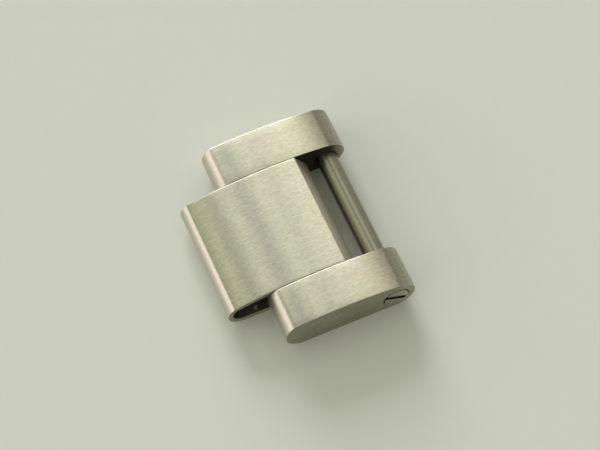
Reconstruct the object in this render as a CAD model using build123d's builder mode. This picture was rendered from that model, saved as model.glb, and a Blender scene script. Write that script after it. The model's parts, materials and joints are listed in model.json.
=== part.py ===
"""Watch bracelet link: two solid outer pieces, a folded hollow centre piece, the fixed pins
and spacer tubes that hold the three together, and the screw that hinges the next link.

Millimetres. X runs along the bracelet, towards the screw end. Y runs across it, away from
the screw head. Z is up. The origin is in the middle of the footprint, on the underside.
"""
from build123d import *
from math import atan2, cos, degrees, hypot, radians, sin, sqrt
import os

# Whole link
link_width = 16.0
link_thickness = 3.3
pitch = 10.65
crown_to_screw = 4.0
top_fall = 0.3

# Outer pieces
outer_width = 3.32
nose_gap = 0.39
nose_flat = 0.34
nose_proud = 0.12
edge_break = 0.08

# Centre piece, one strip of sheet folded round
sheet = 0.39
row_gap = 0.03
neighbour_gap = 0.45
slope_run = 0.95
slope_drop = 1.5
heel_radius = 0.9
sheet_edge_break = 0.05
seam_gap = 0.06
dimple_radius = 0.24
dimple_height = 0.42
dimple_round = 0.18
dimple_inset = 0.5
dent_radius = 0.15
dent_depth = 0.45

# Link screw
head_step = 0.03
head_length = 0.72
head_recess = 0.05
head_chamfer = 0.06
slot_width = 0.28
slot_depth = 0.38
slot_turn = -28.0
thread_step = 0.08
thread_depth = 0.12
thread_pitch = 0.35
thread_turns = 4
shaft_reach = 2.45
tip_chamfer = 0.2

# Fixed pins and the tubes round them
fixed_pin_reach = 1.9
fixed_pin_chamfer = 0.12
front_pin_inset = 1.1
rear_pin_inset = 1.05
tube_wall = 0.37
tube_inset = 0.35
tube_chamfer = 0.1

# Clearances
seat_gap = 0.03
head_gap = 0.04
thread_gap = 0.015
shaft_gap = 0.03
hole_end_gap = 0.15
tube_gap = 0.03
dimple_gap = 0.04
cut_overrun = 1.0

# The top is one arc, level at the crown, that runs tangent into the outer pieces' round screw end
end_radius = (link_thickness - top_fall) / 2
crown_rise = link_thickness - end_radius
top_radius = (crown_to_screw**2 + crown_rise**2 - end_radius**2) / (2 * top_fall)
top_centre_z = link_thickness - top_radius
end_tilt = degrees(atan2(crown_to_screw, end_radius - top_centre_z))


def middle_height(from_crown):
    """Height midway between the flat underside and the top arc, square to both."""
    return link_thickness / 2 - from_crown**2 / (2 * (2 * top_radius - link_thickness))


# The knuckle fits between the underside and the top arc, and its hinge axis is the screw's too
knuckle_from_crown = pitch - crown_to_screw
knuckle_radius = middle_height(knuckle_from_crown)
knuckle_tilt = degrees(atan2(knuckle_from_crown, knuckle_radius - top_centre_z))
pin_height = knuckle_radius

# Places along the link, from the middle of the footprint
screw_x = (pitch + knuckle_radius - end_radius) / 2
knuckle_x = screw_x - pitch
crown_x = screw_x - crown_to_screw
nose_left = knuckle_x + end_radius + nose_gap
nose_radius = (link_thickness - nose_flat) / 2
nose_x = nose_left + nose_radius
rear_x = screw_x - knuckle_radius - neighbour_gap
slope_x = rear_x - slope_run
front_pin_x = nose_left + front_pin_inset
rear_pin_x = slope_x - rear_pin_inset
seam_x = (front_pin_x + rear_pin_x) / 2

# Places across the link
half_width = link_width / 2
inner_face = half_width - outer_width
centre_width = 2 * (inner_face - row_gap)


def top_z(x):
    """Height of the brushed top at a place along the link."""
    return top_centre_z + sqrt(top_radius**2 - (x - crown_x)**2)


# The upper half of an outer piece's nose stands a little proud of the top arc, which cuts a crease
nose_z = top_z(nose_x) + nose_proud - nose_radius
slope_foot_z = top_z(slope_x) - slope_drop

# A spacer tube round each fixed pin fills the hollow's height, and both pins fit the front bore
fixed_pins = {
    "front": (front_pin_x, middle_height(front_pin_x - crown_x)),
    "rear": (rear_pin_x, middle_height(rear_pin_x - crown_x)),
}
tube_radii = {place: pin_z - sheet - tube_gap for place, (pin_x, pin_z) in fixed_pins.items()}
fixed_pin_radius = tube_radii["front"] - tube_wall - tube_gap

# The shaft is as thick as the knuckle's hollow takes, and the rest of the screw follows it
shaft_radius = knuckle_radius - sheet - seat_gap
thread_radius = shaft_radius + thread_step
head_radius = thread_radius + head_step
dimple_x = knuckle_x + shaft_radius + dimple_gap + dimple_radius
dimple_y = centre_width / 2 - dimple_inset


def nose_crease():
    """Where an outer piece's round nose meets the top arc, as X and Z."""
    across = nose_x - crown_x
    rise = nose_z - top_centre_z
    span = hypot(across, rise)
    along = (top_radius**2 - nose_radius**2 + span**2) / (2 * span)
    beside = sqrt(top_radius**2 - along**2)
    x = crown_x + along * across / span - beside * rise / span
    z = top_centre_z + along * rise / span + beside * across / span
    return x, z


def angle_from(centre, point):
    """Direction of a point seen from a centre, in degrees."""
    return degrees(atan2(point[1] - centre[1], point[0] - centre[0]))


def draw_outer_outline():
    """Side outline of an outer piece: flat below, round at the screw end, blunt nose."""
    top_centre = (crown_x, top_centre_z)
    nose_top = (nose_x, nose_z)
    crease_on_top = angle_from(top_centre, nose_crease())
    crease_on_nose = angle_from(nose_top, nose_crease())
    Line((nose_x, 0), (screw_x, 0))
    CenterArc((screw_x, end_radius), end_radius, -90, 180 - end_tilt)
    CenterArc(top_centre, top_radius, 90 - end_tilt, crease_on_top - 90 + end_tilt)
    CenterArc(nose_top, nose_radius, crease_on_nose, 180 - crease_on_nose)
    Line((nose_left, nose_z), (nose_left, nose_radius))
    CenterArc((nose_x, nose_radius), nose_radius, 180, 90)


def draw_centre_outline():
    """Side outline of the centre piece: a full round knuckle in front, a sloped back."""
    top_centre = (crown_x, top_centre_z)
    slope_top = (slope_x, top_z(slope_x))
    slope_on_top = angle_from(top_centre, slope_top)
    Line((knuckle_x, 0), (rear_x - heel_radius, 0))
    CenterArc((rear_x - heel_radius, heel_radius), heel_radius, -90, 90)
    Line((rear_x, heel_radius), (rear_x, slope_foot_z))
    Line((rear_x, slope_foot_z), slope_top)
    CenterArc(top_centre, top_radius, slope_on_top, 90 + knuckle_tilt - slope_on_top)
    CenterArc((knuckle_x, knuckle_radius), knuckle_radius, 90 + knuckle_tilt, 180 - knuckle_tilt)


def facing_out(x, y, z, side):
    """A drilling plane at a place, whose normal points along Y on the given side."""
    return Plane(origin=(x, y, z), z_dir=(0, side, 0))


def save(part, name):
    """Label one finished piece and write it as its own file."""
    part.label = name
    export_step(part, f"parts/{name}.step")


os.makedirs("parts", exist_ok=True)

# Outer piece with the screw head: stepped hole for head, thread and shaft, two blind pin holes
with BuildPart() as outer_link_screw_side:
    with BuildSketch(Plane.XZ.offset(inner_face)):
        with BuildLine():
            draw_outer_outline()
        make_face()
    extrude(amount=outer_width)
    side_faces = outer_link_screw_side.faces().filter_by(Axis.Y)
    fillet(side_faces.edges(), edge_break)
    with Locations(facing_out(screw_x, -half_width, pin_height, -1)):
        Hole(shaft_radius + shaft_gap)
        CounterBoreHole(
            radius=thread_radius + thread_gap,
            counter_bore_radius=head_radius + head_gap,
            counter_bore_depth=head_recess + head_length,
            depth=head_recess + head_length + thread_pitch * thread_turns + hole_end_gap,
        )
    for pin_x, pin_z in fixed_pins.values():
        with Locations(facing_out(pin_x, -inner_face, pin_z, 1)):
            Hole(fixed_pin_radius, depth=fixed_pin_reach + hole_end_gap)
save(outer_link_screw_side.part, "outer_link_screw_side")

# Outer piece on the far side: three blind holes, the outside face is whole
with BuildPart() as outer_link_blind_side:
    with BuildSketch(Plane.XZ.offset(-half_width)):
        with BuildLine():
            draw_outer_outline()
        make_face()
    extrude(amount=outer_width)
    side_faces = outer_link_blind_side.faces().filter_by(Axis.Y)
    fillet(side_faces.edges(), edge_break)
    with Locations(facing_out(screw_x, inner_face, pin_height, -1)):
        Hole(shaft_radius + shaft_gap, depth=shaft_reach + hole_end_gap)
    for pin_x, pin_z in fixed_pins.values():
        with Locations(facing_out(pin_x, inner_face, pin_z, -1)):
            Hole(fixed_pin_radius, depth=fixed_pin_reach + hole_end_gap)
save(outer_link_blind_side.part, "outer_link_blind_side")

# Centre piece: the strip is folded round into a tube with its seam below, and two dimples
# pressed up from below keep the next link's screw in the knuckle
with BuildPart() as centre_link_shell:
    with BuildSketch(Plane.XZ.offset(-centre_width / 2)):
        with BuildLine():
            draw_centre_outline()
        make_face()
        offset(amount=-sheet, mode=Mode.SUBTRACT)
    extrude(amount=centre_width)
    side_faces = centre_link_shell.faces().filter_by(Axis.Y)
    fillet([edge for face in side_faces for edge in face.outer_wire().edges()], sheet_edge_break)
    with BuildSketch(Plane.XY.offset(sheet)):
        with Locations((dimple_x, -dimple_y), (dimple_x, dimple_y)):
            Circle(dimple_radius)
    extrude(amount=dimple_height)
    dimple_tops = centre_link_shell.faces().filter_by_position(
        Axis.Z, sheet + dimple_height, sheet + dimple_height
    )
    fillet(dimple_tops.edges(), dimple_round)
    with Locations(
        Plane(origin=(dimple_x, -dimple_y, 0), z_dir=(0, 0, -1)),
        Plane(origin=(dimple_x, dimple_y, 0), z_dir=(0, 0, -1)),
    ):
        Hole(dent_radius, depth=dent_depth)
    with BuildSketch(Plane.XY):
        with Locations((seam_x, 0)):
            Rectangle(seam_gap, centre_width + cut_overrun)
    extrude(amount=sheet, mode=Mode.SUBTRACT)
save(centre_link_shell.part, "centre_link_shell")

# Fixed pins, pressed into both outer pieces, and the spacer tube that fills the hollow round each
for place, (pin_x, pin_z) in fixed_pins.items():
    pin_end = inner_face + fixed_pin_reach
    with BuildPart() as fixed_pin:
        with BuildSketch(facing_out(pin_x, pin_end, pin_z, -1)):
            Circle(fixed_pin_radius)
        extrude(amount=2 * pin_end)
        chamfer(fixed_pin.edges().filter_by(GeomType.CIRCLE), fixed_pin_chamfer)
    save(fixed_pin.part, f"fixed_pin_{place}")

    tube_end = centre_width / 2 - tube_inset
    with BuildPart() as spacer_tube:
        with BuildSketch(facing_out(pin_x, tube_end, pin_z, -1)):
            Circle(tube_radii[place])
            Circle(fixed_pin_radius + tube_gap, mode=Mode.SUBTRACT)
        extrude(amount=2 * tube_end)
        rims = spacer_tube.edges().filter_by(GeomType.CIRCLE)
        chamfer(rims.group_by(SortBy.RADIUS)[-1], tube_chamfer)
    save(spacer_tube.part, f"spacer_tube_{place}")

# Link screw: slotted head, thread right behind it, then a plain shaft that the next link turns on
head_face = head_recess - half_width
thread_start = head_face + head_length
thread_end = thread_start + thread_pitch * thread_turns
screw_tip = inner_face + shaft_reach
thread_root = thread_radius - thread_depth
screw_outline = [
    (head_face, 0),
    (head_face, head_radius - head_chamfer),
    (head_face + head_chamfer, head_radius),
    (thread_start, head_radius),
]
for turn in range(thread_turns):
    turn_start = thread_start + thread_pitch * turn
    screw_outline += [(turn_start, thread_root), (turn_start + thread_pitch / 2, thread_radius)]
screw_outline += [
    (thread_end, thread_root),
    (thread_end + shaft_radius - thread_root, shaft_radius),
    (screw_tip - tip_chamfer, shaft_radius),
    (screw_tip, shaft_radius - tip_chamfer),
    (screw_tip, 0),
]
slot_direction = (cos(radians(slot_turn)), 0, sin(radians(slot_turn)))
with BuildPart() as link_screw:
    with BuildSketch(Plane(origin=(screw_x, 0, pin_height), x_dir=(0, 1, 0), z_dir=(0, 0, -1))):
        with BuildLine():
            Polyline(*screw_outline, close=True)
        make_face()
    revolve(axis=Axis((screw_x, 0, pin_height), (0, 1, 0)))
    with BuildSketch(Plane(origin=(screw_x, head_face, pin_height), x_dir=slot_direction, z_dir=(0, -1, 0))):
        Rectangle(2 * head_radius + cut_overrun, slot_width)
    extrude(amount=-slot_depth, mode=Mode.SUBTRACT)
save(link_screw.part, "link_screw")
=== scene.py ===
"""Watch bracelet link: finely shaped steel pieces, their finishes and the light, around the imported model.

Shapes are worked out in millimetres and turned into metres when a mesh is finished.
X runs along the bracelet towards the screw end, Y across it, Z up from the table.
"""
import json
from math import atan2, cos, degrees, hypot, pi, radians, sin, sqrt, tan

import bmesh
import bpy
from mathutils import Matrix, Vector


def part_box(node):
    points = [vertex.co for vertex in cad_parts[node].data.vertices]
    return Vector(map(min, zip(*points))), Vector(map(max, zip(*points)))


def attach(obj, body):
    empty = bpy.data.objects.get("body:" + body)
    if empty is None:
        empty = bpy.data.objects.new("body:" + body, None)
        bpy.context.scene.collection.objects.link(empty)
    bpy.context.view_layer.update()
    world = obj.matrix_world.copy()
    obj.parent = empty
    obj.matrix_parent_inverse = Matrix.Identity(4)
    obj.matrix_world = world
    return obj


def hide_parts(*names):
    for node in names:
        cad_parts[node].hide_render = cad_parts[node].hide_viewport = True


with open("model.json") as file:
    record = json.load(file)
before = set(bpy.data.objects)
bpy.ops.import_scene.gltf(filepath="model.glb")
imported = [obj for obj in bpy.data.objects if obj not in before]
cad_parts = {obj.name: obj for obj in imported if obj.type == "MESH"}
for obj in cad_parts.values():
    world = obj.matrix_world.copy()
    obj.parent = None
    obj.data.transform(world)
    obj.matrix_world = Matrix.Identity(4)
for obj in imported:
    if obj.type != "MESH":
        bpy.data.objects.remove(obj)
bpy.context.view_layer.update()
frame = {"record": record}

MM = 0.001


def in_mm(corner):
    """A corner of a CAD box in millimetres."""
    return [value / MM for value in corner]


def round_node(node):
    """Where the axis of a round CAD node lies in X and Z, its radius, and its two ends in Y."""
    low, high = map(in_mm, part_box(node))
    return (low[0] + high[0]) / 2, (low[2] + high[2]) / 2, (high[0] - low[0]) / 2, low[1], high[1]


# Places and sizes that the CAD model gives, in millimetres
mounts = {mount["name"]: mount for mount in frame["record"]["mounts"]}
outer_low, outer_high = map(in_mm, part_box("outer_link_screw_side"))
shell_low, shell_high = map(in_mm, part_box("centre_link_shell"))
screw_low, screw_high = map(in_mm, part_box("link_screw"))
pin_boxes = [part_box("fixed_pin_front"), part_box("fixed_pin_rear")]
screw_x, _, pin_height = in_mm(mounts["next_link_clevis"]["pos_m"])
shaft_radius = mounts["next_link_clevis"]["dims"]["r_mm"]
seat_x = mounts["knuckle_seat"]["pos_m"][0] / MM
thickness = outer_high[2]
half_width = -outer_low[1]
inner_face = -outer_high[1]
nose_left = outer_low[0]
end_radius = outer_high[0] - screw_x
shell_half = shell_high[1]
knuckle_left = shell_low[0]
rear_x = shell_high[0]
head_radius = (screw_high[2] - screw_low[2]) / 2
screw_tip = screw_high[1]

# Outer pieces
crown_to_screw = 4.0
nose_flat = 0.34
nose_proud = 0.15
lead_in_width = 0.3
lead_in_drop = 0.018
edge_round = 0.05
crease_round = 0.06

# Holes in the outer pieces
hole_end_gap = 0.15
hole_break = 0.03
hole_ease = 0.005
mouth_depth = 0.1
cutter_overshoot = 0.5

# Centre piece, a folded strip whose ends meet midway between the two fixed pins
sheet = 0.39
slope_run = 0.95
slope_drop = 1.5
heel_radius = 0.9
foot_round = 0.3
slope_round = 0.04
crease_setback = 0.535
crease_x = knuckle_left + crease_setback
sheet_edge_round = 0.03
inner_edge_round = 0.03
seam_gap = 0.06
seam_x = sum(low.x + high.x for low, high in pin_boxes) / 4 / MM

# Dimples in the centre piece, just behind the seat of the next link's screw, each with a dent below it
dimple_radius = 0.26
dimple_height = 0.42
dimple_flank_share = 0.45
dimple_flank = dimple_radius * dimple_flank_share
dimple_inset = 0.5
dimple_setback = 0.285
dimple_x = seat_x + shaft_radius + dimple_setback
dent_radius = 0.2
dent_depth = 0.3

# Link screw
head_recess = 0.004
head_length = 0.72
head_chamfer = 0.025
head_gap = 0.06
slot_width = 0.33
slot_depth = 0.38
slot_turn = -28.0
thread_step = 0.08
thread_depth = 0.12
thread_pitch = 0.35
thread_turns = 4
thread_gap = 0.015
thread_run_out = 0.06
shaft_reach = screw_tip - inner_face
shaft_gap = 0.03
tip_chamfer = 0.2
head_face = -half_width + head_recess
thread_start = head_face + head_length
thread_end = thread_start + thread_pitch * thread_turns

# Fixed pins and spacer tubes
pin_chamfer = 0.12
tube_chamfer = 0.1
tube_bore_gap = 0.03

# How finely the meshes are divided
corner_steps = 6
bar_round_steps = 8
strip_round_steps = 5
head_round_steps = 5
rows_over_dimple = 18
rows_per_thread_turn = 16
hole_segments = 72
turned_segments = 96
screw_segments = 144

# Points nearer than the first are one point in an outline, and those nearer than the second one in a mesh
same_place = 1e-6
weld_distance = 1e-5

# A rounded corner drops the points that lie nearer to it than its arc's ends and this share more
corner_clear_share = 1.05

# Edges that bend more than these stay sharp, in degrees
shaped_sharp = 15.0
turned_sharp = 30.0

# The brushed top is one arc, level at the crown, tangent to the round screw end
crown_x = screw_x - crown_to_screw
top_fall = thickness - 2 * end_radius
top_radius = (crown_to_screw**2 + (thickness - end_radius)**2 - end_radius**2) / (2 * top_fall)
top_centre = (crown_x, thickness - top_radius)


# Outlines in X and Z
def top_z(x):
    """Height of the brushed top."""
    return top_centre[1] + sqrt(top_radius**2 - (x - crown_x)**2)


def angle_from(centre, point):
    """Direction of a point seen from a centre, in degrees."""
    return degrees(atan2(point[1] - centre[1], point[0] - centre[0]))


def circles_meet(a, radius_a, b, radius_b):
    """The left one of the two points where two circles meet."""
    dx, dz = b[0] - a[0], b[1] - a[1]
    span = hypot(dx, dz)
    along = (radius_a**2 - radius_b**2 + span**2) / (2 * span)
    beside = sqrt(radius_a**2 - along**2)
    found = []
    for side in (-beside, beside):
        found.append((a[0] + (along * dx - side * dz) / span, a[1] + (along * dz + side * dx) / span))
    return min(found)


def arc(centre, radius, start, end, steps):
    """Points along an arc, both ends included, angles in degrees."""
    turns = [radians(start + (end - start) * i / steps) for i in range(steps + 1)]
    return [(centre[0] + radius * cos(turn), centre[1] + radius * sin(turn)) for turn in turns]


def line(a, b, steps):
    """Points along a straight line, both ends included."""
    return [(a[0] + (b[0] - a[0]) * i / steps, a[1] + (b[1] - a[1]) * i / steps) for i in range(steps + 1)]


def quarter_round(radius, steps):
    """Steps round a rim, each as how far it lies in from the end face and how far in from the side."""
    turns = [pi / 2 * i / steps for i in range(steps + 1)]
    return [(radius * (1 - cos(turn)), radius * (1 - sin(turn))) for turn in turns]


def round_corner(before, after, radius):
    """Trims two runs that meet at a corner and returns them with a small arc between them."""
    corner = Vector(before[-1])
    came = (corner - Vector(before[-2])).normalized()
    goes = (Vector(after[1]) - corner).normalized()
    turn = came.angle(goes)
    cut = radius * tan(turn / 2)
    clear = cut * corner_clear_share
    before = [p for p in before if (Vector(p) - corner).length > clear]
    after = [p for p in after if (Vector(p) - corner).length > clear]
    start = corner - came * cut
    side = 1 if came.x * goes.y - came.y * goes.x > 0 else -1
    inward = Vector((-came.y, came.x)) * side
    centre = start + inward * radius
    spoke = -inward * radius
    bend = []
    for i in range(corner_steps + 1):
        angle = side * turn * i / corner_steps
        bend.append((
            centre.x + spoke.x * cos(angle) - spoke.y * sin(angle),
            centre.y + spoke.x * sin(angle) + spoke.y * cos(angle),
        ))
    return before, bend, after


def joined(runs, corners, closed):
    """One outline from its runs. corners gives each corner's radius, or 0 where the runs are tangent."""
    runs = [list(run) for run in runs]
    bends = [[] for run in runs]
    for i, radius in enumerate(corners):
        following = (i + 1) % len(runs)
        if radius:
            runs[i], bends[i], runs[following] = round_corner(runs[i], runs[following], radius)
    points = []
    for run, bend in zip(runs, bends):
        for p in run + bend:
            if not points or hypot(p[0] - points[-1][0], p[1] - points[-1][1]) > same_place:
                points.append(p)
    if closed and hypot(points[0][0] - points[-1][0], points[0][1] - points[-1][1]) < same_place:
        points.pop()
    return points


def outward(points):
    """Unit normals of a closed outline that runs anticlockwise."""
    normals = []
    for i in range(len(points)):
        before = points[i - 1]
        after = points[(i + 1) % len(points)]
        run = Vector((after[0] - before[0], after[1] - before[1])).normalized()
        normals.append((run.y, -run.x))
    return normals


def outer_nose():
    """The round nose of an outer piece: its radius, the centre of its upper half and the crease above it."""
    radius = (thickness - nose_flat) / 2
    x = nose_left + radius
    centre = (x, top_z(x) + nose_proud - radius)
    return radius, centre, circles_meet(top_centre, top_radius, centre, radius)


def outer_outline():
    """Side outline of an outer piece: flat below, round at the screw end, crisp crease above the nose."""
    nose_radius, nose_top, crease = outer_nose()
    nose_x = nose_top[0]
    lead_x = crease[0] + lead_in_width
    lead = (lead_x, top_z(lead_x))
    lowered = (crease[0], crease[1] - lead_in_drop)
    end = (screw_x, end_radius)
    end_turn = angle_from(top_centre, end)
    runs = [
        line((nose_x, 0), (screw_x, 0), steps=40),
        arc(end, end_radius, -90, end_turn, steps=64),
        arc(top_centre, top_radius, end_turn, angle_from(top_centre, lead), steps=110),
        line(lead, lowered, steps=6),
        arc(nose_top, nose_radius, angle_from(nose_top, lowered), 180, steps=36),
        line((nose_left, nose_top[1]), (nose_left, nose_radius), steps=4),
        arc((nose_x, nose_radius), nose_radius, 180, 270, steps=40),
    ]
    return joined(runs, [0, 0, 0, crease_round, 0, 0, 0], closed=True)


def slope_ends(below):
    """Foot and brow of the strip's plain rear slope, or of a surface that lies some way below it."""
    slope_x = rear_x - slope_run
    slope_top = Vector((slope_x, top_z(slope_x)))
    slope_foot = Vector((rear_x, slope_top.y - slope_drop))
    slope = (slope_foot - slope_top).normalized()
    into = Vector((slope.y, -slope.x))
    reach = (rear_x - below - slope_foot.x - into.x * below) / slope.x
    foot = slope_foot + into * below + slope * reach
    start = slope_top + into * below - Vector(top_centre)
    half = start.dot(slope)
    root = sqrt(half**2 - start.dot(start) + (top_radius - below)**2)
    brow = Vector(top_centre) + start + slope * (-root - half)
    return foot, brow


def knuckle_circle():
    """Centre and radius of the strip's knuckle, from the crease at the top round to the flat underside."""
    fall = crease_x - knuckle_left
    rise = top_z(crease_x)
    whole = fall + rise
    radius = whole - sqrt(whole**2 - fall**2 - rise**2)
    return (knuckle_left + radius, radius), radius


def strip_outline(below):
    """Outline of the folded strip, on its outside or some way below it, from the seam round to the seam."""
    foot, brow = slope_ends(below)
    brow_turn = angle_from(top_centre, brow)
    knuckle, knuckle_radius = knuckle_circle()
    crease = circles_meet(top_centre, top_radius - below, knuckle, knuckle_radius - below)
    crease_turn = angle_from(top_centre, crease)
    heel = (rear_x - heel_radius, heel_radius)
    seam_front, seam_rear = seam_x - seam_gap / 2, seam_x + seam_gap / 2
    dimple_front, dimple_rear = dimple_x - dimple_radius, dimple_x + dimple_radius
    runs = [
        line((seam_rear, below), (heel[0], below), steps=20),
        arc(heel, heel_radius - below, -90, 0, steps=24),
        line((rear_x - below, heel_radius), foot, steps=6),
        line(foot, brow, steps=10),
        arc(top_centre, top_radius - below, brow_turn, crease_turn, steps=120),
        arc(knuckle, knuckle_radius - below, angle_from(knuckle, crease), 270, steps=60),
        line((knuckle[0], below), (dimple_front, below), steps=10),
        line((dimple_front, below), (dimple_rear, below), steps=20),
        line((dimple_rear, below), (seam_front, below), steps=10),
    ]
    bends = [inner_edge_round] * 3 if below else [foot_round, slope_round, crease_round]
    return joined(runs, [0, 0, *bends, 0, 0, 0, 0], closed=False)


# Meshes
def finished(name, bm, material):
    """Turns a bmesh into a named piece, still in millimetres."""
    bmesh.ops.remove_doubles(bm, verts=bm.verts, dist=weld_distance)
    bmesh.ops.recalc_face_normals(bm, faces=bm.faces)
    mesh = bpy.data.meshes.new(name)
    bm.to_mesh(mesh)
    bm.free()
    piece = bpy.data.objects.new(name, mesh)
    bpy.context.scene.collection.objects.link(piece)
    mesh.materials.append(material)
    return piece


def close_up(piece, body, node, sharp):
    """Scales a piece from millimetres to metres, smooths it and ties it to the frame."""
    mesh = piece.data
    for vertex in mesh.vertices:
        vertex.co *= MM
    mesh.shade_smooth()
    mesh.set_sharp_from_angle(angle=radians(sharp))
    weighted = piece.modifiers.new("even_normals", "WEIGHTED_NORMAL")
    weighted.keep_sharp = True
    weighted.weight = 100
    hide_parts(node)
    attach(piece, body)


def bar(name, outline, low_y, high_y, rounding, material, nose_end, nose_material):
    """A solid bar along Y with the given side outline, both end rims rounded, another steel on its nose."""
    nose_index = 1
    middle_shares = (0.25, 0.5, 0.75)
    normals = outward(outline)
    near = [(low_y + along, inset) for along, inset in quarter_round(rounding, bar_round_steps)]
    middle = [(low_y + (high_y - low_y) * share, 0.0) for share in middle_shares]
    far = [(low_y + high_y - y, inset) for y, inset in reversed(near)]
    bm = bmesh.new()
    rings = []
    for y, inset in near + middle + far:
        rings.append([
            bm.verts.new((x - nx * inset, y, z - nz * inset)) for (x, z), (nx, nz) in zip(outline, normals)
        ])
    for ring, following in zip(rings, rings[1:]):
        for i in range(len(ring)):
            j = (i + 1) % len(ring)
            face = bm.faces.new((ring[i], ring[j], following[j], following[i]))
            if max(outline[i][0], outline[j][0]) < nose_end:
                face.material_index = nose_index
    bm.faces.new(rings[0])
    bm.faces.new(rings[-1])
    piece = finished(name, bm, material)
    piece.data.materials.append(nose_material)
    return piece


def spun(name, rows, x, z, material, segments=turned_segments):
    """A turned piece round an axis along Y. Each row is a Y and its radius, which may depend on the angle."""
    bm = bmesh.new()
    rings = []
    for y, radius in rows:
        if radius == 0:
            rings.append([bm.verts.new((x, y, z))])
            continue
        ring = []
        for i in range(segments):
            angle = 2 * pi * i / segments
            reach = radius(angle) if callable(radius) else radius
            ring.append(bm.verts.new((x + reach * cos(angle), y, z + reach * sin(angle))))
        rings.append(ring)
    for ring, following in zip(rings, rings[1:]):
        for i in range(segments):
            j = (i + 1) % segments
            if len(ring) == 1:
                bm.faces.new((ring[0], following[j], following[i]))
            elif len(following) == 1:
                bm.faces.new((ring[i], ring[j], following[0]))
            else:
                bm.faces.new((ring[i], ring[j], following[j], following[i]))
    return finished(name, bm, material)


def carve(piece, cutters):
    """Cuts the cutters out of a piece for good, and deletes them."""
    for cutter in cutters:
        modifier = piece.modifiers.new("carve", "BOOLEAN")
        modifier.operation = "DIFFERENCE"
        modifier.solver = "EXACT"
        modifier.material_mode = "TRANSFER"
        modifier.object = cutter
    bpy.context.view_layer.update()
    depsgraph = bpy.context.evaluated_depsgraph_get()
    mesh = bpy.data.meshes.new_from_object(piece.evaluated_get(depsgraph))
    piece.modifiers.clear()
    piece.data = mesh
    for cutter in cutters:
        bpy.data.objects.remove(cutter)


# Shader helpers
def node_adder(tree):
    """Empties a node tree and returns a helper that adds a node with its inputs and settings."""
    tree.nodes.clear()

    def add(kind, inputs=None, **settings):
        node = tree.nodes.new(kind)
        for key, value in settings.items():
            setattr(node, key, value)
        for key, value in (inputs or {}).items():
            if hasattr(value, "links"):
                tree.links.new(value, node.inputs[key])
            else:
                node.inputs[key].default_value = value
        return node

    return add


def new_material(name):
    """An empty node material and a helper that adds nodes to it."""
    material = bpy.data.materials.new(name)
    material.use_nodes = True
    return material, node_adder(material.node_tree)


# Patterns in the steel: scale along X, Y and Z per metre, amount of detail, and a shift of its own
LONG_BRUSHING = ((700.0, 8500.0, 700.0), 2.0, 3.1)
SHORT_BRUSHING = ((2200.0, 11000.0, 2200.0), 1.5, 0.0)
SIDE_GRAIN = ((600.0, 900.0, 5200.0), 2.0, 1.3)
MOTTLE = ((3800.0, 5500.0, 3800.0), 1.0, 7.9)
HAZE = ((420.0, 420.0, 420.0), 1.0, 5.7)
LONG_SHARE = 0.35
MOTTLE_SHARE = 0.25
HAZE_COOL = (0.98, 1.0, 0.98, 1.0)
HAZE_WARM = (1.02, 0.995, 1.015, 1.0)
ROUGHNESS_CHANGE = 0.04
GRAIN_STRENGTH = 0.2
GRAIN_DEPTH = 0.004

# Where the steel's painted shade and highlight set in and where they are full,
# by how far a surface faces across or along the link
SIDE_FACING = (0.72, 0.97)
RIM_FACING = (0.03, 0.3)
FLANK_FACING = (0.3, 0.65)

# Painted shade darkens the inner walls this far into the outer pieces,
# fading out between two distances past the screw
WALL_REACH = 0.1
OPEN_FROM = 0.2
OPEN_TO = 1.7


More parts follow.
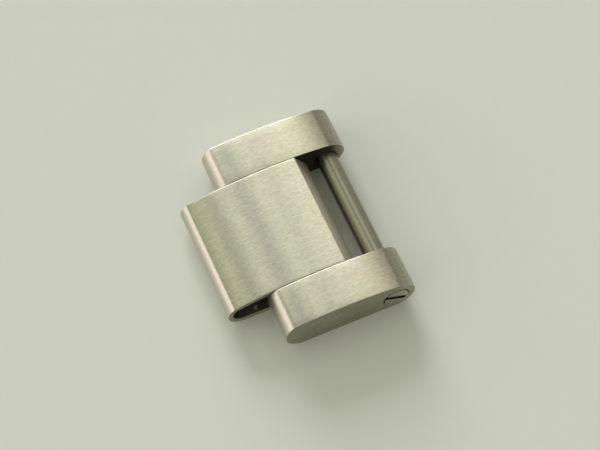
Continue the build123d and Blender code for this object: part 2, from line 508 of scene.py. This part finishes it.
def steel(name, tones, roughness, anisotropy, painted_side_tone=1.0, painted_wall_shade=1.0, painted_flank_shade=1.0, rim=None):
    """Brushed or turned steel, with painted shade or painted light on its sides, painted shade on the walls
    next to the centre piece and on surfaces that face along the link, and a painted highlight on the rim
    between the sides and the top."""
    light, dark = tones
    material, add = new_material(name)
    place = add("ShaderNodeTexCoord").outputs["Object"]
    normal = add("ShaderNodeNewGeometry").outputs["Normal"]
    facing = add("ShaderNodeSeparateXYZ", {"Vector": normal})
    split = add("ShaderNodeSeparateXYZ", {"Vector": place})

    def without_sign(value):
        return add("ShaderNodeMath", {0: value}, operation="ABSOLUTE").outputs[0]

    def minus(a, b, clamped=False):
        return add("ShaderNodeMath", {0: a, 1: b}, operation="SUBTRACT", use_clamp=clamped).outputs[0]

    def step(value, low, high):
        return add("ShaderNodeMapRange", {
            "Value": value, "From Min": low, "From Max": high,
        }, interpolation_type="SMOOTHSTEP").outputs[0]

    def stretched(value, low, high, new_low=0.0, new_high=1.0):
        return add("ShaderNodeMapRange", {
            "Value": value, "From Min": low, "From Max": high, "To Min": new_low, "To Max": new_high,
        }).outputs[0]

    def noise(scales, detail, shift):
        stretch = add("ShaderNodeMapping", {
            "Vector": place, "Scale": scales, "Location": (shift, shift, shift),
        })
        return add("ShaderNodeTexNoise", {
            "Vector": stretch.outputs[0], "Scale": 1.0, "Detail": detail, "Roughness": 0.55,
        }).outputs["Fac"]

    def between(factor, a, b, kind="FLOAT"):
        mixed = add("ShaderNodeMix", {"Factor": factor, "A": a, "B": b}, data_type=kind)
        return mixed.outputs["Result"]

    def times(a, b):
        product = add("ShaderNodeMix", {
            "Factor": 1.0, "A": a, "B": b,
        }, data_type="RGBA", blend_type="MULTIPLY")
        return product.outputs["Result"]

    # the flat sides
    across = without_sign(facing.outputs["Y"])
    side = step(across, *SIDE_FACING)

    # brushing lines along X on the top, a finer grain on the sides, and a slight mottle over both
    long_brushing = noise(*LONG_BRUSHING)
    brushing = between(LONG_SHARE, noise(*SHORT_BRUSHING), long_brushing)
    grain = between(side, brushing, noise(*SIDE_GRAIN))
    surface = between(MOTTLE_SHARE, grain, noise(*MOTTLE))
    haze = between(stretched(noise(*HAZE), low=0.38, high=0.62), HAZE_COOL, HAZE_WARM, "RGBA")
    colour = times(between(stretched(surface, low=0.36, high=0.64), dark, light, "RGBA"), haze)

    # painted shade or light on the sides, and much darker painted shade on the walls next to the centre piece
    off_middle = without_sign(split.outputs["Y"])
    wall_end = (inner_face + WALL_REACH) * MM
    wall = add("ShaderNodeMath", {0: off_middle, 1: wall_end}, operation="LESS_THAN").outputs[0]
    open_end = step(split.outputs["X"], (screw_x + OPEN_FROM) * MM, (screw_x + OPEN_TO) * MM)
    shaded = minus(wall, open_end, clamped=True)
    tone = between(shaded, painted_side_tone, painted_side_tone * painted_wall_shade)
    colour = times(colour, between(side, 1.0, tone))

    # painted shade: surfaces that turn down towards either end of the link are a little darker
    along = without_sign(facing.outputs["X"])
    colour = times(colour, between(step(along, *FLANK_FACING), 1.0, painted_flank_shade))

    # painted highlight: the thin rim between the sides and the top is lighter
    if rim:
        colour = between(minus(step(across, *RIM_FACING), side), colour, rim, "RGBA")

    rough = stretched(
        long_brushing, low=0.25, high=0.75,
        new_low=roughness * (1 - ROUGHNESS_CHANGE), new_high=roughness * (1 + ROUGHNESS_CHANGE),
    )
    bump = add("ShaderNodeBump", {
        "Strength": GRAIN_STRENGTH, "Distance": GRAIN_DEPTH * MM, "Height": surface,
    })
    shader = add("ShaderNodeBsdfPrincipled", {
        "Base Color": colour, "Metallic": 1.0, "Roughness": rough,
        "Anisotropic": anisotropy, "Normal": bump.outputs[0],
        "Tangent": between(side, (0.0, 1.0, 0.0), (0.0, 0.0, 1.0), "VECTOR"),
    })
    add("ShaderNodeOutputMaterial", {"Surface": shader.outputs[0]})
    return material


# Each steel's light and dark tone
BRUSHED_TONES = (0.61, 0.595, 0.47, 1), (0.455, 0.445, 0.355, 1)
SLOPE_PAINTED_LIGHT_TONES = (0.88, 0.82, 0.73, 1), (0.76, 0.71, 0.63, 1)
NOSE_PAINTED_LIGHT_TONES = (0.63, 0.60, 0.50, 1), (0.545, 0.52, 0.43, 1)
TURNED_TONES = (0.46, 0.45, 0.35, 1), (0.40, 0.39, 0.30, 1)
HEAD_SIDE_SHADE_TONES = (0.26, 0.255, 0.20, 1), (0.20, 0.195, 0.155, 1)
BORED_SHADE_TONES = (0.10, 0.095, 0.075, 1), (0.07, 0.067, 0.05, 1)
INSIDE_SHADE_TONES = (0.27, 0.265, 0.21, 1), (0.18, 0.178, 0.14, 1)
RIM_HIGHLIGHT_TONE = (0.69, 0.675, 0.55, 1)

# Painted shade darkens the sides, and on the outer pieces the inner walls and flanks; a painted highlight
# lightens the rims
brushed_outer = steel("brushed_outer_steel", BRUSHED_TONES, roughness=0.3, anisotropy=1.0,
                      painted_side_tone=0.82, painted_wall_shade=0.15, painted_flank_shade=0.85, rim=RIM_HIGHLIGHT_TONE)
brushed_sheet = steel("brushed_sheet_steel", BRUSHED_TONES, roughness=0.3, anisotropy=1.0,
                      painted_side_tone=0.8, rim=RIM_HIGHLIGHT_TONE)
# Painted light: the rear slope's tones are lighter and pinker than the brushed steel's, besides its satin
# roughness
satin_slope_painted_light = steel("satin_slope_steel", SLOPE_PAINTED_LIGHT_TONES, roughness=0.5, anisotropy=0.2)
# Painted light: the nose's tones are lighter than the brushed steel's, besides its satin roughness
satin_nose_painted_light = steel("satin_nose_steel", NOSE_PAINTED_LIGHT_TONES, roughness=0.42, anisotropy=0.0)
# Painted light on flat faces such as the screw head's, painted shade on the flanks that face along the link
turned = steel("turned_steel", TURNED_TONES, roughness=0.3, anisotropy=0.2, painted_side_tone=1.14, painted_flank_shade=0.68)
mouth_shade = steel("shaded_mouth_steel", TURNED_TONES, roughness=0.45, anisotropy=0.2)
# Painted shade: the screw head's side wall is darkened where it sits in its hole
head_side_shade = steel("head_side_steel", HEAD_SIDE_SHADE_TONES, roughness=0.45, anisotropy=0.2)
# Painted shade: the holes and the screwdriver slot are nearly black inside
bored_shade = steel("bored_steel", BORED_SHADE_TONES, roughness=0.45, anisotropy=0.2)
# Painted shade: the inside of the fold is darkened
inside_fold_shade = steel("inside_fold_steel", INSIDE_SHADE_TONES, roughness=0.42, anisotropy=0.3)


# Outer pieces with their holes
def outer_bar(name, low_y, high_y):
    """An outer piece before it is drilled, brushed all over apart from its satin nose with painted light."""
    _, _, crease = outer_nose()
    return bar(name, outer_outline(), low_y, high_y, edge_round, brushed_outer, crease[0], satin_nose_painted_light)


def hole(name, rows, x, z):
    """A turned cutter for a hole along Y; its cut faces get a near-black steel: painted shade."""
    return spun(name, rows, x, z, bored_shade, hole_segments)


def pin_holes(face, inward):
    """Cutters for the two blind holes that the fixed pins are pressed into."""
    cutters = []
    for node in ("fixed_pin_front", "fixed_pin_rear"):
        x, z, radius, _, pin_end = round_node(node)
        end = face + inward * (pin_end - inner_face + hole_end_gap)
        mouth = face - inward * cutter_overshoot
        cutters.append(hole("cut_" + node, [(mouth, 0), (mouth, radius), (end, radius), (end, 0)], x, z))
    return cutters


def screw_holes(shaft_hole):
    """Cutters for the screw's way through the near piece: the shaded mouth, then head, thread and shaft."""
    head_hole = head_radius + head_gap
    thread_hole = shaft_radius + thread_step + thread_gap + hole_ease
    thread_hole_end = thread_end + hole_end_gap
    mouth = spun("cut_mouth", [
        (-half_width - cutter_overshoot, 0),
        (-half_width - cutter_overshoot, head_hole + mouth_depth + cutter_overshoot),
        (-half_width + mouth_depth, head_hole),
        (-half_width + mouth_depth, 0),
    ], screw_x, pin_height, mouth_shade)
    stepped = hole("cut_head", [
        (-half_width - cutter_overshoot, 0),
        (-half_width - cutter_overshoot, head_hole),
        (thread_start, head_hole),
        (thread_start, thread_hole),
        (thread_hole_end, thread_hole),
        (thread_hole_end, shaft_hole),
        (-inner_face - hole_break, shaft_hole),
        (-inner_face + cutter_overshoot, shaft_hole + hole_break + cutter_overshoot),
        (-inner_face + cutter_overshoot, 0),
    ], screw_x, pin_height)
    return [mouth, stepped]


def tip_hole(shaft_hole):
    """Cutter for the blind hole in the far piece that takes the screw's tip."""
    end = inner_face + shaft_reach + hole_end_gap
    return hole("cut_blind", [
        (inner_face - cutter_overshoot, 0),
        (inner_face - cutter_overshoot, shaft_hole + hole_break + cutter_overshoot),
        (inner_face + hole_break, shaft_hole),
        (end, shaft_hole),
        (end, 0),
    ], screw_x, pin_height)


def outer_pieces():
    """Both outer pieces, drilled."""
    shaft_hole = shaft_radius + shaft_gap + hole_ease
    near = outer_bar("outer_link_screw_side_piece", -half_width, -inner_face)
    carve(near, [*screw_holes(shaft_hole), *pin_holes(-inner_face, -1)])
    close_up(near, "link", "outer_link_screw_side", shaped_sharp)
    far = outer_bar("outer_link_blind_side_piece", inner_face, half_width)
    carve(far, [tip_hole(shaft_hole), *pin_holes(inner_face, 1)])
    close_up(far, "link", "outer_link_blind_side", shaped_sharp)


outer_pieces()


# Centre piece, the folded strip
def dimple_rise(x, y, inside):
    """How far the strip's underside is pressed up at a place, on its inside or its outside."""
    away = hypot(x - dimple_x, abs(y) - (shell_half - dimple_inset))
    if inside:
        share = min(1.0, max(0.0, (dimple_radius - away) / dimple_flank))
        return dimple_height * share**2 * (3 - 2 * share)
    share = min(1.0, max(0.0, (dent_radius - away) / dent_radius))
    return dent_depth * share**2 * (3 - 2 * share)


def across_stations():
    """Places across the strip, closer together where the dimples are."""
    middle_shares = (0.8, 0.5, 0.2)
    centre = shell_half - dimple_inset
    ys = [shell_half - sheet_edge_round]
    for i in range(rows_over_dimple + 1):
        ys.append(centre + dimple_radius - 2 * dimple_radius * i / rows_over_dimple)
    ys += [centre * share for share in middle_shares]
    return [-y for y in ys] + ys[::-1]


def strip_rim(outer, inner, side):
    """Points round the strip's rim on one side of the link, from the outside of the sheet to its inside."""
    (ox, oz), (ix, iz) = outer, inner
    span = hypot(ix - ox, iz - oz)
    dx, dz = (ix - ox) / span, (iz - oz) / span
    places = quarter_round(sheet_edge_round, strip_round_steps)[1:]
    places += [(span - up, back) for back, up in quarter_round(inner_edge_round, strip_round_steps)[:-1]]
    return [(ox + dx * inset, side * (shell_half - back), oz + dz * inset) for inset, back in places]


def folded_strip(name):
    """The folded strip, as one closed skin with rounded rims and two dimples."""
    inside_index, slope_index, nose_index = 1, 2, 3
    ys = across_stations()
    bm = bmesh.new()
    rings = []
    for outer, inner in zip(strip_outline(0.0), strip_outline(sheet)):
        (ox, oz), (ix, iz) = outer, inner
        flat = oz < same_place
        outside = [(ox, y, oz + (dimple_rise(ox, y, False) if flat else 0.0)) for y in ys]
        inside = [(ix, y, iz + (dimple_rise(ix, y, True) if flat else 0.0)) for y in reversed(ys)]
        loop = outside + strip_rim(outer, inner, 1) + inside + strip_rim(outer, inner, -1)[::-1]
        rings.append([bm.verts.new(p) for p in loop])
    faces_across = len(ys) - 1
    inside_start = len(ys) + 2 * strip_round_steps
    for ring, following in zip(rings, rings[1:]):
        for i in range(len(ring)):
            j = (i + 1) % len(ring)
            face = bm.faces.new((ring[i], ring[j], following[j], following[i]))
            xs = (ring[i].co.x, following[i].co.x)
            # the inside of the fold gets the darker steel of painted shade
            if inside_start <= i < inside_start + faces_across:
                face.material_index = inside_index
            elif i < faces_across and min(xs) > rear_x - slope_run:
                face.material_index = slope_index
            elif i < faces_across and max(xs) < crease_x:
                face.material_index = nose_index
    bm.faces.new(rings[0])
    bm.faces.new(rings[-1])
    piece = finished(name, bm, brushed_sheet)
    for material in (inside_fold_shade, satin_slope_painted_light, satin_nose_painted_light):
        piece.data.materials.append(material)
    return piece


shell = folded_strip("centre_link_shell_piece")
close_up(shell, "link", "centre_link_shell", shaped_sharp)


# Link screw
def thread_rows():
    """Rows along the thread, a helix that fades out at both ends."""
    root = shaft_radius + thread_step - thread_depth
    rows = [(thread_start, root)]
    for i in range(1, rows_per_thread_turn * thread_turns):
        y = thread_start + thread_pitch * i / rows_per_thread_turn

        def ridge(angle, y=y):
            phase = ((y - thread_start) / thread_pitch - angle / (2 * pi)) % 1.0
            height = 1 - abs(2 * phase - 1)
            fade = min(1.0, (y - thread_start) / thread_pitch, (thread_end - y) / thread_pitch)
            return root + thread_depth * height * max(0.0, fade)

        rows.append((y, ridge))
    return rows + [(thread_end, root)]


def screw_rows():
    """Places along the screw with the radius there: head, thread, plain shaft and chamfered tip."""
    shaft_shares = (0.25, 0.5, 0.75, 1.0)
    rows = [(head_face, 0), (head_face, head_radius / 2)]
    for along, inset in quarter_round(head_chamfer, head_round_steps):
        rows.append((head_face + along, head_radius - inset))
    rows.append((thread_start, head_radius))
    rows += thread_rows()
    rows.append((thread_end + thread_run_out, shaft_radius))
    shaft_length = screw_tip - tip_chamfer - thread_end
    rows += [(thread_end + shaft_length * share, shaft_radius) for share in shaft_shares]
    return rows + [(screw_tip, shaft_radius - tip_chamfer), (screw_tip, 0)]


def slot_cutter():
    """A block as wide as the screwdriver slot, longer than the head is wide, turned as in the photo."""
    turn = radians(slot_turn)
    block_length = 3 * head_radius
    # the block's middle lies in the head's face, so only half of its height cuts
    block_height = 2 * slot_depth
    bm = bmesh.new()
    bmesh.ops.create_cube(bm, size=1.0)
    for vertex in bm.verts:
        x = vertex.co.x * block_length
        z = vertex.co.z * slot_width
        y = vertex.co.y * block_height
        vertex.co = (
            screw_x + x * cos(turn) - z * sin(turn),
            head_face + y,
            pin_height + x * sin(turn) + z * cos(turn),
        )
    # the slot's cut faces get a near-black steel: painted shade
    return finished("cut_slot", bm, bored_shade)


def link_screw():
    """The screw with its slot. The side wall of its head has a darker steel than the rest: painted shade."""
    head_side_index = 1
    screw = spun("link_screw_piece", screw_rows(), screw_x, pin_height, turned, screw_segments)
    screw.data.materials.append(head_side_shade)
    for face in screw.data.polygons:
        if head_face + head_chamfer < face.center.y < thread_start:
            face.material_index = head_side_index
    carve(screw, [slot_cutter()])
    close_up(screw, "link_screw", "link_screw", turned_sharp)


link_screw()


# Fixed pins and their spacer tubes
def turned_bar(node, chamfer, bore=0):
    """A plain turned bar, or a tube where it has a bore, that stands for a round CAD node."""
    x, z, radius, low_y, high_y = round_node(node)
    rows = [
        (low_y, bore), (low_y, radius - chamfer), (low_y + chamfer, radius),
        (high_y - chamfer, radius), (high_y, radius - chamfer), (high_y, bore),
    ]
    if bore:
        rows.append(rows[0])
    piece = spun(node + "_piece", rows, x, z, turned)
    close_up(piece, "link", node, turned_sharp)


for place in ("front", "rear"):
    turned_bar("fixed_pin_" + place, pin_chamfer)
    _, _, pin_radius, _, _ = round_node("fixed_pin_" + place)
    turned_bar("spacer_tube_" + place, tube_chamfer, pin_radius + tube_bore_gap)


# Table top, in metres
PAPER_DARK = (0.77, 0.81, 0.755, 1)
PAPER_LIGHT = (0.81, 0.85, 0.795, 1)
TABLE_RADIUS = 1.5
TABLE_DROP = 0.00001


def paper():
    """Pale, slightly mottled paper."""
    material, add = new_material("pale_paper")
    place = add("ShaderNodeTexCoord").outputs["Object"]
    fibres = add("ShaderNodeTexNoise", {"Vector": place, "Scale": 900.0, "Detail": 6.0}).outputs["Fac"]
    clouds = add("ShaderNodeTexNoise", {"Vector": place, "Scale": 60.0, "Detail": 3.0}).outputs["Fac"]
    mixed = add("ShaderNodeMix", {"Factor": 0.5, "A": fibres, "B": clouds}, data_type="FLOAT")
    tint = add("ShaderNodeMix", {
        "Factor": mixed.outputs[0], "A": PAPER_DARK, "B": PAPER_LIGHT,
    }, data_type="RGBA")
    bump = add("ShaderNodeBump", {"Strength": 0.15, "Distance": 0.00005, "Height": fibres})
    shader = add("ShaderNodeBsdfPrincipled", {
        "Base Color": tint.outputs["Result"], "Roughness": 0.85, "Specular IOR Level": 0.2,
        "Normal": bump.outputs[0],
    })
    add("ShaderNodeOutputMaterial", {"Surface": shader.outputs[0]})
    return material


def table_top():
    """A round table top that lies a hair below the part."""
    bm = bmesh.new()
    bmesh.ops.create_circle(bm, cap_ends=True, radius=TABLE_RADIUS, segments=64)
    mesh = bpy.data.meshes.new("table_top")
    bm.to_mesh(mesh)
    bm.free()
    mesh.materials.append(paper())
    table = bpy.data.objects.new("table_top", mesh)
    table.location.z = -TABLE_DROP
    bpy.context.scene.collection.objects.link(table)


table_top()


# Light: a soft sky whose brightness changes from the left horizon over the top to the right horizon.
# Each stop holds an angle from straight up, negative towards -X, and the light that comes from there.
SKY = [
    (-180, (0.50, 0.50, 0.48)),
    (-95, (2.90, 2.60, 2.70)),
    (-82, (2.20, 1.95, 2.00)),
    (-67, (1.60, 1.48, 1.45)),
    (-54, (0.70, 0.70, 0.60)),
    (-27, (0.65, 0.66, 0.52)),
    (-21.5, (0.45, 0.46, 0.36)),
    (-18.5, (1.50, 1.50, 1.20)),
    (-15.5, (0.02, 0.03, 0.02)),
    (-12, (0.30, 0.31, 0.24)),
    (-8, (0.75, 0.76, 0.62)),
    (-5, (0.02, 0.03, 0.02)),
    (-1.5, (0.02, 0.03, 0.02)),
    (2.5, (0.95, 0.97, 0.78)),
    (6, (0.20, 0.21, 0.16)),
    (12, (0.68, 0.69, 0.55)),
    (20, (0.58, 0.57, 0.47)),
    (26, (1.50, 1.44, 1.20)),
    (29.5, (0.36, 0.33, 0.29)),
    (60, (0.44, 0.42, 0.38)),
    (85, (0.50, 0.50, 0.45)),
    (100, (0.16, 0.16, 0.16)),
    (180, (0.40, 0.40, 0.38)),
]
SKY_PEAK = 3.0

# The sky is full where a direction's Y part is above SKY_FULL_Y, and falls to this share of it at SKY_DIM_Y
SKY_SHARE_IN_FRONT = 0.45
SKY_DIM_Y = -0.9
SKY_FULL_Y = 0.35


def sky():
    """World light as a ramp over the angle from straight up, dimmer on the camera's side."""
    world = bpy.data.worlds.new("studio_sky")
    bpy.context.scene.world = world
    world.use_nodes = True
    add = node_adder(world.node_tree)
    place = add("ShaderNodeTexCoord")
    split = add("ShaderNodeSeparateXYZ", {0: place.outputs["Generated"]})
    angle = add("ShaderNodeMath", {0: split.outputs["X"], 1: split.outputs["Z"]}, operation="ARCTAN2")
    share = add("ShaderNodeMapRange", {"Value": angle.outputs[0], "From Min": -pi, "From Max": pi})
    ramp = add("ShaderNodeValToRGB", {0: share.outputs[0]})
    ramp.color_ramp.interpolation = "LINEAR"
    stops = ramp.color_ramp.elements
    while len(stops) < len(SKY):
        stops.new(0.5)
    for stop, (turn, colour) in zip(stops, SKY):
        stop.position = (turn + 180) / 360
        stop.color = (*[value / SKY_PEAK for value in colour], 1)
    depth = add("ShaderNodeMapRange", {
        "Value": split.outputs["Y"], "From Min": SKY_DIM_Y, "From Max": SKY_FULL_Y,
        "To Min": SKY_SHARE_IN_FRONT * SKY_PEAK, "To Max": SKY_PEAK,
    }, interpolation_type="SMOOTHSTEP")
    background = add("ShaderNodeBackground", {"Color": ramp.outputs[0], "Strength": depth.outputs[0]})
    add("ShaderNodeOutputWorld", {"Surface": background.outputs[0]})


def lamp(name, direction, distance, width, height, radiance, colour):
    """A soft rectangular lamp that points at the object, its sizes in metres."""
    data = bpy.data.lights.new(name, "AREA")
    data.shape = "RECTANGLE"
    data.size = width
    data.size_y = height
    data.energy = radiance * pi * width * height
    data.color = colour
    obj = bpy.data.objects.new(name, data)
    towards = Vector(direction).normalized()
    obj.location = towards * distance
    obj.rotation_mode = "QUATERNION"
    obj.rotation_quaternion = (-towards).to_track_quat("-Z", "Y")
    bpy.context.scene.collection.objects.link(obj)


sky()
lamp("window_softbox", direction=(0.10, 0.95, 0.30), distance=2.7, width=1.23, height=1.32,
     radiance=11.5, colour=(1.0, 0.985, 0.99))

# Camera, solved from the photograph's straight edges: it aims at a point on the table near the link
camera_azimuth = -23.094
camera_elevation = 63.050
camera_roll = 0.573
camera_distance = 156.97
frame_width = 600
frame_height = 450
focal_pixels = 2101.56
sensor_width = 36.0
aim_from_screw = 4.2
aim_row = 236.06


def photo_camera():
    """The camera that took the photograph."""
    data = bpy.data.cameras.new("camera")
    data.sensor_width = sensor_width
    data.lens = sensor_width * focal_pixels / frame_width
    data.clip_start = 0.01
    data.clip_end = 10.0
    camera = bpy.data.objects.new("camera", data)
    azimuth, elevation, roll = radians(camera_azimuth), radians(camera_elevation), radians(camera_roll)
    back = Vector((sin(azimuth) * cos(elevation), -cos(azimuth) * cos(elevation), sin(elevation)))
    level = Vector((cos(azimuth), sin(azimuth), 0))
    up = back.cross(level)
    right = level * cos(roll) - up * sin(roll)
    top = level * sin(roll) + up * cos(roll)
    rise = (aim_row - frame_height / 2) / focal_pixels * camera_distance
    place = Vector((screw_x - aim_from_screw, 0, 0)) + top * rise + back * camera_distance
    turned_to = Matrix((right, top, back)).transposed().to_4x4()
    camera.matrix_world = Matrix.Translation(place * MM) @ turned_to
    bpy.context.scene.collection.objects.link(camera)
    bpy.context.scene.camera = camera


photo_camera()
bpy.context.scene.view_settings.view_transform = "Standard"
